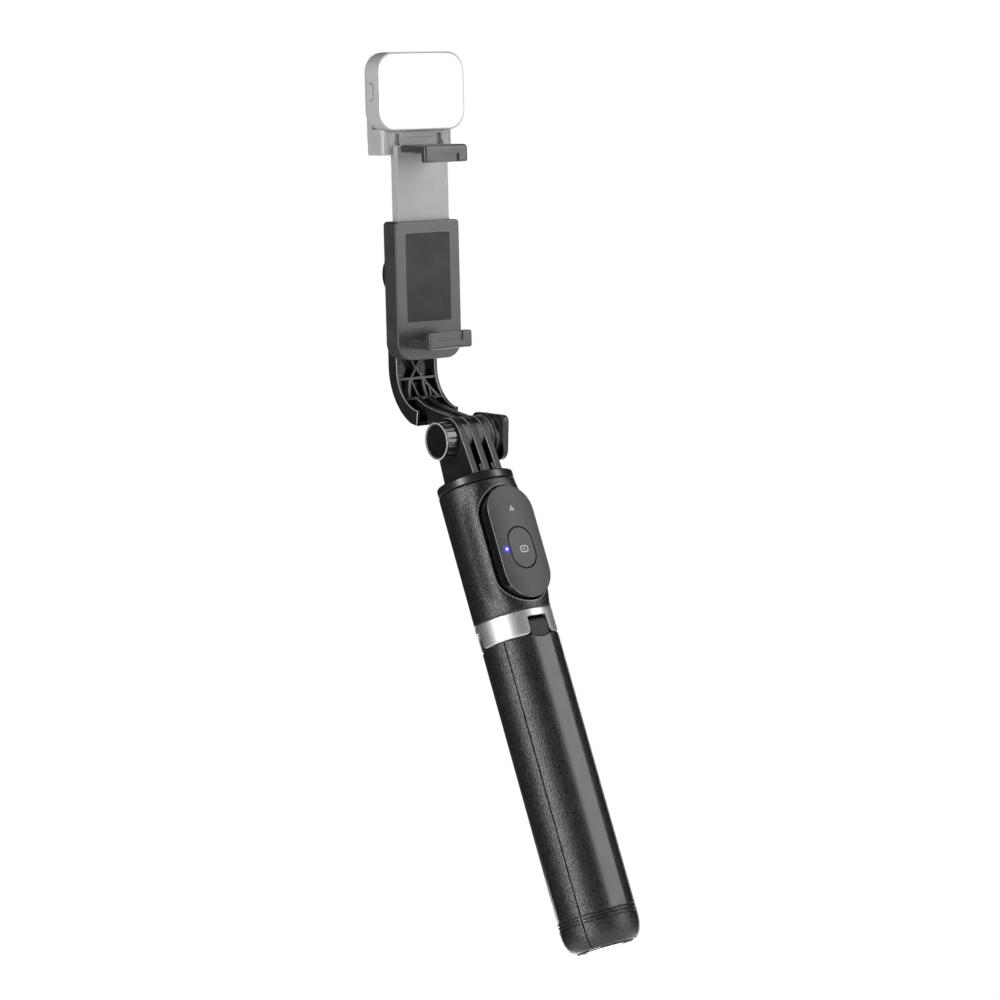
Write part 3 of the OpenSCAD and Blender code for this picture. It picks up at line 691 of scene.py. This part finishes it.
def remote_controls():
    """The shutter button, its two generic glyphs and the status light."""
    button = prism("shutter_button", slot(2.75, 5.75, BUTTON_Z - 0.15), FACE_Y + 0.02, FACE_Y + 2.4,
                   0.3, 0.1)
    piece(button, "remote_button", FACE, hides=["remote_button"])
    # a small camera on the button, a triangle above it
    z = BUTTON_Z - 0.9
    glyph = prism("glyph_camera", box_outline(3.9, 2.9, 1.1, 0.75, z), FACE_Y - 0.03, FACE_Y + 0.2,
                  0.03, 0)
    core = prism("glyph_core", box_outline(2.9, 1.9, 0.6, 0.75, z), FACE_Y - 1, FACE_Y + 1, 0, 0)
    boolean(glyph, [core])
    piece(glyph, "remote_button", PRINT)
    dot = prism("glyph_dot", circle(0.42, 0.75, z, 24), FACE_Y - 0.03, FACE_Y + 0.2, 0.03, 0)
    piece(dot, "remote_button", PRINT)
    z = SEAT_Z + 13.4
    outline = [(-1.2, z - 0.9, 0.15), (1.3, z - 0.9, 0.15), (0.05, z + 1.5, 0.15)]
    triangle = prism("glyph_triangle", outline, FACE_Y - 0.03, FACE_Y + 0.4, 0.03, 0)
    middle = [(-0.35, z - 0.45), (0.55, z - 0.45), (0.05, z + 0.45)]
    core = prism("glyph_core", middle, FACE_Y - 1, FACE_Y + 1, 0, 0)
    boolean(triangle, [core])
    piece(triangle, "remote", PRINT)

    pipe = prism("status_light", circle(0.95, LED_X, BUTTON_Z, 32), FACE_Y + 0.2, FACE_Y + 3.5, 0.25, 0)
    piece(pipe, "remote", LED_GLOW, hides=["remote_led"])


# ------------------------------------------------------------------ hinge

PRONG_R, PRONG_HALF = 9.0, 1.45


def fork():
    cap = revolve("cap", [(0.001, CAP_Z), (GRIP_R - 0.5, CAP_Z), (GRIP_R - 0.1, CAP_Z + 0.35),
                          (GRIP_R - 0.1, CAP_Z + 2.7), (GRIP_R - 0.25, CAP_Z + 3.15),
                          (GRIP_R - 0.6, CAP_Z + 3.5), (GRIP_R - 1.1, CAP_Z + 3.7),
                          (0.001, CAP_Z + 3.7)], n=160)
    low = CAP_Z + 3.2 - HINGE_Z
    side = [(-10.55, low), (10.55, low)] + arc(0, 0, PRONG_R, -2, 182, 40)
    parts = []
    for x in (-6, 0, 6):
        parts.append(prism("prong", side, x - PRONG_HALF, x + PRONG_HALF, 0.28, 0.28, "x"))
    step = [(-9.9, low), (9.9, low), (9.7, low + 4.7, 0.3), (-9.7, low + 4.7, 0.3)]
    for x in (0, 6):
        parts.append(prism("root_step", step, x - 2.9, x - 1, 0.25, 0, "x"))
    parts.append(prism("boss", circle(8.3, n=72), 7, 10.1, 0, 0, "x"))
    parts.append(prism("boss_ring", circle(PRONG_R, n=72), 7.3, 8.6, 0.2, 0.25, "x"))
    parts.append(prism("boss_ring", circle(PRONG_R, n=72), 8.9, 10.1, 0.25, 0.25, "x"))
    for p in parts:
        moved(p, Matrix.Translation((0, 0, HINGE_Z)))
    joined(cap, *parts)
    shaft = moved(prism("shaft", circle(2.55, n=40), -20, 20, 0, 0, "x"),
                  Matrix.Translation((0, 0, HINGE_Z)))
    boolean(cap, [shaft])
    made = piece(cap, "head", SATIN, hides=["fork_head"], angle=30)
    made.data.materials.append(FORK)
    made.data.materials.append(EDGE_HIGHLIGHT)
    # everything above the cap takes the fork plastic; its left front rounded edges, where the key light
    # falls, take a lighter plastic: a painted highlight
    for face in made.data.polygons:
        if face.center.z > (CAP_Z + 3.8) * MM:
            worn_and_lit_edge = -0.93 < face.normal.x < -0.25 and face.normal.y < 0
            face.material_index = 2 if worn_and_lit_edge else 1
    return made


def knob():
    r, lobes = 7.7, 16
    outline = []
    count = lobes * 16
    for i in range(count):
        t = 2 * math.pi * i / count
        groove = max(0.0, -math.cos(lobes * t) - 0.72) / 0.28
        rr = r - 0.8 * groove ** 0.5
        outline.append((rr * math.cos(t), rr * math.sin(t)))
    body = prism("thumb_knob", outline, -12.7, -7.9, 0.2, 0.35, "x")
    face = prism("knob_face", circle(r, n=96), -13.5, -12.5, 0.45, 0.1, "x", 5)
    dish = prism("dish", circle(r - 0.8, n=96), -14.5, -13.2, 0, 0.15, "x")
    joined(body, face)
    boolean(body, [dish])
    moved(body, Matrix.Translation((0, 0, HINGE_Z)))
    made = piece(body, "knob", KNOB, hides=["hinge_knob"])
    made.data.materials.append(RIM_HIGHLIGHT)
    # the outer ring of the knob's front face takes a lighter plastic all round: a painted highlight
    for face in made.data.polygons:
        away = math.hypot(face.center.y, face.center.z - HINGE_Z * MM)
        if face.center.x < -13.3 * MM and away > (r - 0.95) * MM:
            face.material_index = 1
    return made


def nut_block():
    block = prism("nut_boss", circle(9.6, n=96), 10.15, 13, 0.45, 0.1, "x", 5)
    tab = [(-10.4, -9.8, 4.8), (9.4, -9.8, 4.8), (10.1, 9.1, 2.5), (-11.7, 9.1, 2.5)]
    tab = moved(prism("nut_tab", tab, 12.6, 15.5, 0.5, 0.8, "x", 5), Matrix.Rotation(TILT, 4, "X"))
    joined(block, tab)
    pocket = prism("pocket", box_outline(8.2, 8.2, 0.2), 9, 14.3, 0, 0, "x")
    boolean(block, [pocket])
    moved(block, Matrix.Translation((0, 0, HINGE_Z)))
    return piece(block, "head", ARM, hides=["nut_block"])


# ------------------------------------------------------------------ arm

ARM_BACK, ARM_FRONT = 36.0, 30.2
BEND = (11.2, 28.0)
RIM = (13.7, 27.0)
SWIVEL_V = 66.0


def arm_side(t=0.0):
    """Side view of the channel in (y, v), t inside its front rim."""
    back = arc(*BEND, ARM_BACK - BEND[0], -66, 0, 28)
    front = arc(*RIM, ARM_FRONT - RIM[0] + t, 0, -72, 24)
    return [(17.2, 4.6)] + back + [(ARM_BACK, SWIVEL_V), (ARM_FRONT + t, SWIVEL_V)] + front + [
        (16.2, 10.9 - t)]


def arm():
    half = 10.5
    wall = 1.7
    side_wall = 1.4
    r = ARM_BACK - BEND[0]
    band = ([(17.2, 4.6)] + arc(*BEND, r, -66, 0, 28) + [(ARM_BACK, SWIVEL_V),
            (ARM_BACK - wall, SWIVEL_V)] + arc(*BEND, r - wall, 0, -66, 28) + [(17.2, 6.4)])
    web = prism("arm_web", band, -half, half, 0.4, 0.4, "x")
    sides = [prism("side", arm_side(), x, x + side_wall, 0.35, 0.35, "x")
             for x in (-half, half - side_wall)]
    disc = prism("disc", circle(12.5, 0, SWIVEL_V, 72), ARM_FRONT, ARM_BACK, 0.4, 0.6)

    def rib(a, b, thick):
        d = Vector(b) - Vector(a)
        n = Vector((-d.y, d.x)).normalized() * thick / 2
        e = d.normalized() * 0.4
        corners = [Vector(a) - e - n, Vector(b) + e - n, Vector(b) + e + n, Vector(a) - e + n]
        return prism("rib", [tuple(c) for c in corners], 8, 36, 0, 0)

    # the lattice as (start, end, thickness), seen from the front
    lines = [((-10, 22.8), (10, 22.8), 1.0), ((-10, 15.0), (10, 15.0), 0.9),
             ((-10, 36), (10, 36), 0.9), ((-10, 50), (10, 50), 0.9),
             ((-3, 22.8), (0, 26.8), 0.8), ((3, 22.8), (0, 26.8), 0.8),
             ((0, 26.8), (-5.5, 36), 0.8), ((0, 26.8), (5.5, 36), 0.8),
             ((-3, 22.8), (-6.5, 15), 0.8), ((-3, 22.8), (-1.6, 15), 0.8),
             ((3, 22.8), (2.2, 15), 1.1), ((3, 22.8), (8.2, 15), 0.8), ((5.2, 19.4), (4.2, 15), 0.7),
             ((-9.5, 36), (9.5, 50), 0.8), ((9.5, 36), (-9.5, 50), 0.8)]
    ribs = rib(*lines[0])
    joined(ribs, *[rib(*line) for line in lines[1:]])
    boolean(ribs, [prism("inside", arm_side(0.7), -half + 0.6, half - 0.6, 0, 0, "x")], "INTERSECT")

    knuckles = []
    for x in (-3, 3):
        plate = [(0, PRONG_R), (-6, 6.7)] + arc(0, 0, PRONG_R, 132, 292, 30) + [
            (9.5, -3.2), (14, 3.4), (18, 5.2), (24, 8.5), (29.5, 15.5), (25, 15.2), (19.5, 12.6),
            (11, 10.7)]
        knuckles.append(prism("knuckle", [(a, b, 0) for a, b in plate], x - PRONG_HALF,
                              x + PRONG_HALF, 0.25, 0.25, "x"))
    joined(web, *sides, disc, ribs, *knuckles)
    # ejector pads on the web
    for x, v in ((-5.4, 26.9), (5.7, 26.2), (1.2, 18.8)):
        y = BEND[0] + math.sqrt((r - wall) ** 2 - (v - BEND[1]) ** 2) - 0.35
        joined(web, prism("pad", slot(0.5, 1.7, v, x), y, y + 1.0, 0.15, 0))
    bolt = prism("bolt_hole", circle(2.56, n=40), -20, 20, 0, 0, "x")
    pivot = prism("pivot", circle(2.55, 0, SWIVEL_V, 40), 20, 40, 0, 0)
    seat = prism("seat", circle(5.2, 0, SWIVEL_V, 48), ARM_BACK - 1.8, 40, 0, 0)
    boolean(web, [bolt, pivot, seat])
    made = piece(web, "arm", ARM, head=True, hides=["arm"], angle=30)
    made.data.materials.append(EDGE_HIGHLIGHT)
    # the left front rounded edges, where the key light falls, take a lighter plastic: a painted
    # highlight
    for face in made.data.polygons:
        if -0.93 < face.normal.x < -0.25 and face.normal.y < 0.3 and abs(face.center.x) > 0.0025:
            face.material_index = 1
    return made


# ------------------------------------------------------------------ clamp

PLATE_Y, PLATE_BACK = 20.5, 29.2
PLATE_V, PLATE_TOP = 31.2, 88.0
PLATE_W = 32.4
JAW_V, JAW_GAP = 39.4, 76.5
JAW_TOP = JAW_V + JAW_GAP
BRACKET_V = JAW_TOP + 3
LIGHT_V = BRACKET_V + 5.8
LIGHT_W, LIGHT_H = 43.6, 31.6
TONGUE_V = 70.0
ROD_X = 10.4
LIP_Y, LIP_T = 6.0, 3.2
LIP_W = 21.6


def lip_window(v):
    """Cutter for the shallow window in a jaw's lip."""
    return prism("window", box_outline(12.6, 6, 0.25, 0, v), LIP_Y - 1, LIP_Y + 0.8, 0, 0)


def clamp_base():
    w = PLATE_W
    outline = [(-w / 2, PLATE_V, 7.2), (w / 2, PLATE_V, 7.2), (w / 2, PLATE_TOP, 1.5),
               (-w / 2, PLATE_TOP, 1.5)]
    plate = prism("clamp_plate", outline, PLATE_Y, PLATE_BACK, 0.5, 0.9, steps=5)
    # lower jaw: floor and hooked lip drawn as one side view
    hook = [(LIP_Y, JAW_V - 3, 1.1), (PLATE_Y + 1, JAW_V - 3, 0.3), (PLATE_Y + 1, JAW_V, 0.3),
            (LIP_Y + LIP_T, JAW_V, 0.5), (LIP_Y + LIP_T, JAW_V + 4, 0.6), (LIP_Y, JAW_V + 4, 0.8)]
    jaw = prism("jaw", hook, -LIP_W / 2, LIP_W / 2, 0.8, 0.8, "x", 5)
    joined(plate, jaw)
    well = prism("well", box_outline(26, 80, 0.5, 0, JAW_V + 41), PLATE_Y + 1.8, PLATE_BACK - 1.6,
                 0, 0)
    seat = prism("seat", box_outline(29.2, 80, 0.5, 0, PLATE_V + 46), PLATE_BACK - 1.6, 40, 0, 0)
    pad = prism("pad", box_outline(22, 36, 1.5, 0, 65), PLATE_Y - 1, PLATE_Y + 0.8, 0, 0)
    boolean(plate, [well, seat, pad, lip_window(JAW_V + 3.3)])
    soften(plate, 0.15, 50)
    return piece(plate, "clamp", DARK, head=True, hides=["clamp_base"])


def rod_bores():
    """Cutters for the two guide rods."""
    return [prism("rod_bore", circle(1.3, s * ROD_X, PLATE_Y + 4.3, 32), TONGUE_V - 1,
                  TONGUE_V + 53.5, 0, 0, "z") for s in (-1, 1)]


def clamp_slider():
    w = 34.9
    # seen from above the bracket has round front corners
    plan = [(-w / 2, 25, 3.2), (w / 2, 25, 2.2), (w / 2, 37, 1.2), (-w / 2, 37, 1.2)]
    bracket = prism("bracket", plan, BRACKET_V - 4, BRACKET_V + 12, 0.6, 0.2, "z")
    # the cradle for the light falls from the back to the front
    slope = prism("slope", [(20, LIGHT_V + 1.2), (26.2, LIGHT_V + 1.2), (36.4, BRACKET_V + 11),
                            (40, BRACKET_V + 11.2), (40, 150), (20, 150)], -30, 30, 0, 0, "x")
    nest = prism("nest", box_outline(LIGHT_W + 0.3, LIGHT_H + 0.3, 8.1, 0, LIGHT_V + LIGHT_H / 2),
                 20, 33.05, 0, 0)
    boolean(bracket, [slope, nest])
    back = prism("back", box_outline(w, 20, 3, 0, BRACKET_V + 9), 33.05, 37, 0.2, 0.8)
    tongue = prism("tongue", box_outline(25.5, BRACKET_V - TONGUE_V, 0.6, 0,
                                         (BRACKET_V + TONGUE_V) / 2), 22.55, 27.05, 0.2, 0.2)
    hook = [(LIP_Y, JAW_TOP - 4, 0.8), (LIP_Y + LIP_T, JAW_TOP - 4, 0.6),
            (LIP_Y + LIP_T, JAW_TOP, 0.5), (26, JAW_TOP, 0.3), (26, JAW_TOP + 3, 0.3),
            (LIP_Y, JAW_TOP + 3, 1.5)]
    jaw = prism("jaw", hook, -LIP_W / 2, LIP_W / 2, 1.0, 1.0, "x", 6)
    joined(bracket, back, tongue)
    low, high = BRACKET_V + 0.4, BRACKET_V + 3.3
    outline = [(-13, low, 0.2), (13, low, 0.2), (10.4, high, 1.2), (-10.4, high, 1.2)]
    panel = prism("panel", outline, 24, 25.7, 0, 0)
    boolean(jaw, [lip_window(JAW_TOP - 3.5)] + rod_bores())
    boolean(bracket, [panel] + rod_bores())
    soften(bracket, 0.15, 50)
    soften(jaw, 0.15, 50)
    piece(jaw, "slider", DARK, head=True)
    return piece(bracket, "slider", GREY, head=True, hides=["clamp_slider"])


# ------------------------------------------------------------------ fill light

def fill_light():
    w, h = LIGHT_W, LIGHT_H
    v = LIGHT_V + h / 2
    housing = prism("light_case", box_outline(w, h, 8, 0, v), 22.3, 33, 0.25, 3.0, steps=8)
    well = prism("well", box_outline(w - 4.4, h - 4.4, 6, 0, v), 21, 31.6, 0, 0)
    step = prism("step", box_outline(w - 1.2, h - 1.2, 7.4, 0, v), 21, 23.7, 0, 0)
    press = prism("press", box_outline(3.6, 7.2, 1.7, 27, v), -w / 2 - 1, -w / 2 + 3, 0, 0, "x")
    socket = prism("socket", box_outline(3.3, 9, 1.6, 27, v), w / 2 - 3, w / 2 + 1, 0, 0, "x")
    boolean(housing, [well, step, press, socket])
    piece(housing, "slider", HOUSING, head=True, hides=["light_housing"])

    # crowned diffuser: insets that rise in an arc towards the middle, above its straight rim
    rings = []
    outer = box_outline(w - 1.3, h - 1.3, 7.35, 0, v)
    for k in range(9):
        t = k / 8
        d = 5.5 * t ** 1.5
        y = 22.2 - 1.2 * math.sqrt(1 - (1 - t) ** 2)
        rings.append([(a, y, b) for a, b in inset(outer, d, 16)])
    rings.insert(0, [(a, 23.6, b) for a, b in inset(outer, 0, 16)])
    diffuser = loft("diffuser_lens", rings)
    centre = HEAD @ Vector((0, 21 * MM, v * MM))
    glow = lamp("opal_glow", (1, 1, 1, 0.95), (0.97, 0.97, 1.0, 0.55), 26, centre)
    piece(diffuser, "slider", glow, head=True, hides=["light_diffuser"], angle=50)

    button = prism("power_button", box_outline(3.2, 6.8, 1.55, 27, v), -w / 2 - 0.45, -w / 2 + 3, 0.3,
                   0, "x")
    piece(button, "light_button", HOUSING, head=True, hides=["light_button"])


# ------------------------------------------------------------------ scene

def area(name, size, power, place, target, colour=(1, 1, 1)):
    data = bpy.data.lights.new(name, "AREA")
    data.shape = "RECTANGLE"
    data.size, data.size_y = size
    data.energy = power
    data.color = colour
    obj = bpy.data.objects.new(name, data)
    obj.location = place
    obj.rotation_euler = (Vector(target) - Vector(place)).to_track_quat("-Z", "Y").to_euler()
    bpy.context.scene.collection.objects.link(obj)
    return obj


FLOOR_Z = -0.34
FLOOR_R = 1.1


def camera():
    """Looks from the left and a little below, with the stick leaning over."""
    azimuth, elevation, roll = (math.radians(a) for a in (-38.0, -10.78, -15.75))
    back = Vector((math.sin(azimuth) * math.cos(elevation),
                   -math.cos(azimuth) * math.cos(elevation), math.sin(elevation)))
    right = Vector((math.cos(azimuth), math.sin(azimuth), 0))
    up = back.cross(right)
    right, up = (right * math.cos(roll) + up * math.sin(roll),
                 up * math.cos(roll) - right * math.sin(roll))
    data = bpy.data.cameras.new("camera")
    data.sensor_width = 36
    data.lens = 104.3
    data.clip_start, data.clip_end = 0.01, 50
    obj = bpy.data.objects.new("camera", data)
    place = Vector((0, 0, 0.2)) + right * 0.0118 - up * 0.0128 + back * 1.178
    rotation = Matrix((right, up, back)).transposed().to_4x4()
    obj.matrix_world = Matrix.Translation(place) @ rotation
    bpy.context.scene.collection.objects.link(obj)
    bpy.context.scene.camera = obj


def lights():
    middle = Vector((0, 0, 0.19))

    def around(degrees, distance, rise):
        """A place at an angle from the stick's front, seen from above, left negative."""
        a = math.radians(degrees)
        return middle + Vector((math.sin(a) * distance, -math.cos(a) * distance, rise))

    area("key", (0.26, 1.3), 18, around(-78, 1.0, 0.15), middle)
    area("front", (0.24, 1.3), 11, around(38, 1.0, 0.2), middle)
    area("rim", (0.14, 1.1), 1.6, around(128, 0.9, 0.1), middle)
    area("low", (0.5, 0.3), 3, around(10, 0.9, -0.75), middle)
    area("back", (0.4, 0.5), 4, around(150, 1.0, -0.35), middle)


def world():
    """White behind the object, and a little even light."""
    made = bpy.data.worlds.new("studio")
    made.use_nodes = True
    tree = made.node_tree
    tree.nodes.clear()
    out = tree.nodes.new("ShaderNodeOutputWorld")
    path = tree.nodes.new("ShaderNodeLightPath")
    mix = tree.nodes.new("ShaderNodeMixShader")
    tree.links.new(path.outputs["Is Camera Ray"], mix.inputs[0])
    # what lights the object, then what the camera sees
    for place, strength in ((1, 0.02), (2, 1.0)):
        background = tree.nodes.new("ShaderNodeBackground")
        background.inputs["Color"].default_value = (1, 1, 1, 1)
        background.inputs["Strength"].default_value = strength
        tree.links.new(background.outputs[0], mix.inputs[place])
    tree.links.new(mix.outputs[0], out.inputs["Surface"])
    bpy.context.scene.world = made
    bpy.context.scene.view_settings.view_transform = "Standard"


def floor():
    """A pale disc that grows brighter outwards, into the white behind it."""
    disc = mesh_object("floor", [(a, b, FLOOR_Z) for a, b in circle(FLOOR_R, n=64)],
                       [tuple(range(64))])
    pale = Shader("floor_white")
    pale.bsdf.inputs["Base Color"].default_value = (0.9, 0.9, 0.9, 1)
    pale.ramp(pale.noise(40, 2.0), 0.7, 0.8, to="Roughness")
    pale.bsdf.inputs["Emission Color"].default_value = (1, 1, 1, 1)
    fade = pale.fade((0, 0, FLOOR_Z), 0.2, 1.0, 0.5, 1.05)
    pale.link(fade, "Result", pale.bsdf, "Emission Strength")
    disc.data.materials.append(pale.material)


camera()
lights()
world()
floor()
handle_shell()
seat_lip()
for leg_name in LEG_ANGLES:
    leg(leg_name)
collar()
remote_body()
remote_front()
remote_controls()
fork()
knob()
nut_block()
arm()
clamp_base()
clamp_slider()
fill_light()

paint(SATIN, "remote_cradle", "leg_hub", "tube_end_plug", "swivel_washer")
paint(GREY, "clamp_cover")
paint(RUBBER, "leg_foot_front", "leg_foot_left", "leg_foot_right", "jaw_pad_lower",
      "jaw_pad_upper", "back_pad")
paint(STEEL, *["tube_%d" % stage for stage in range(1, 7)])
paint(STEEL, "leg_pin_front", "leg_pin_left", "leg_pin_right", "hinge_bolt", "hinge_nut",
      "swivel_screw", "clamp_rod_left", "clamp_rod_right", "clamp_spring_left",
      "clamp_spring_right", "light_port", "remote_cell", "remote_switch")
paint(BRASS, *["sleeve_%d" % stage for stage in range(2, 7)])
paint(BOARD, "remote_board", "light_board")
paint(CHIP, "light_leds")
paint(FOIL, "light_battery")
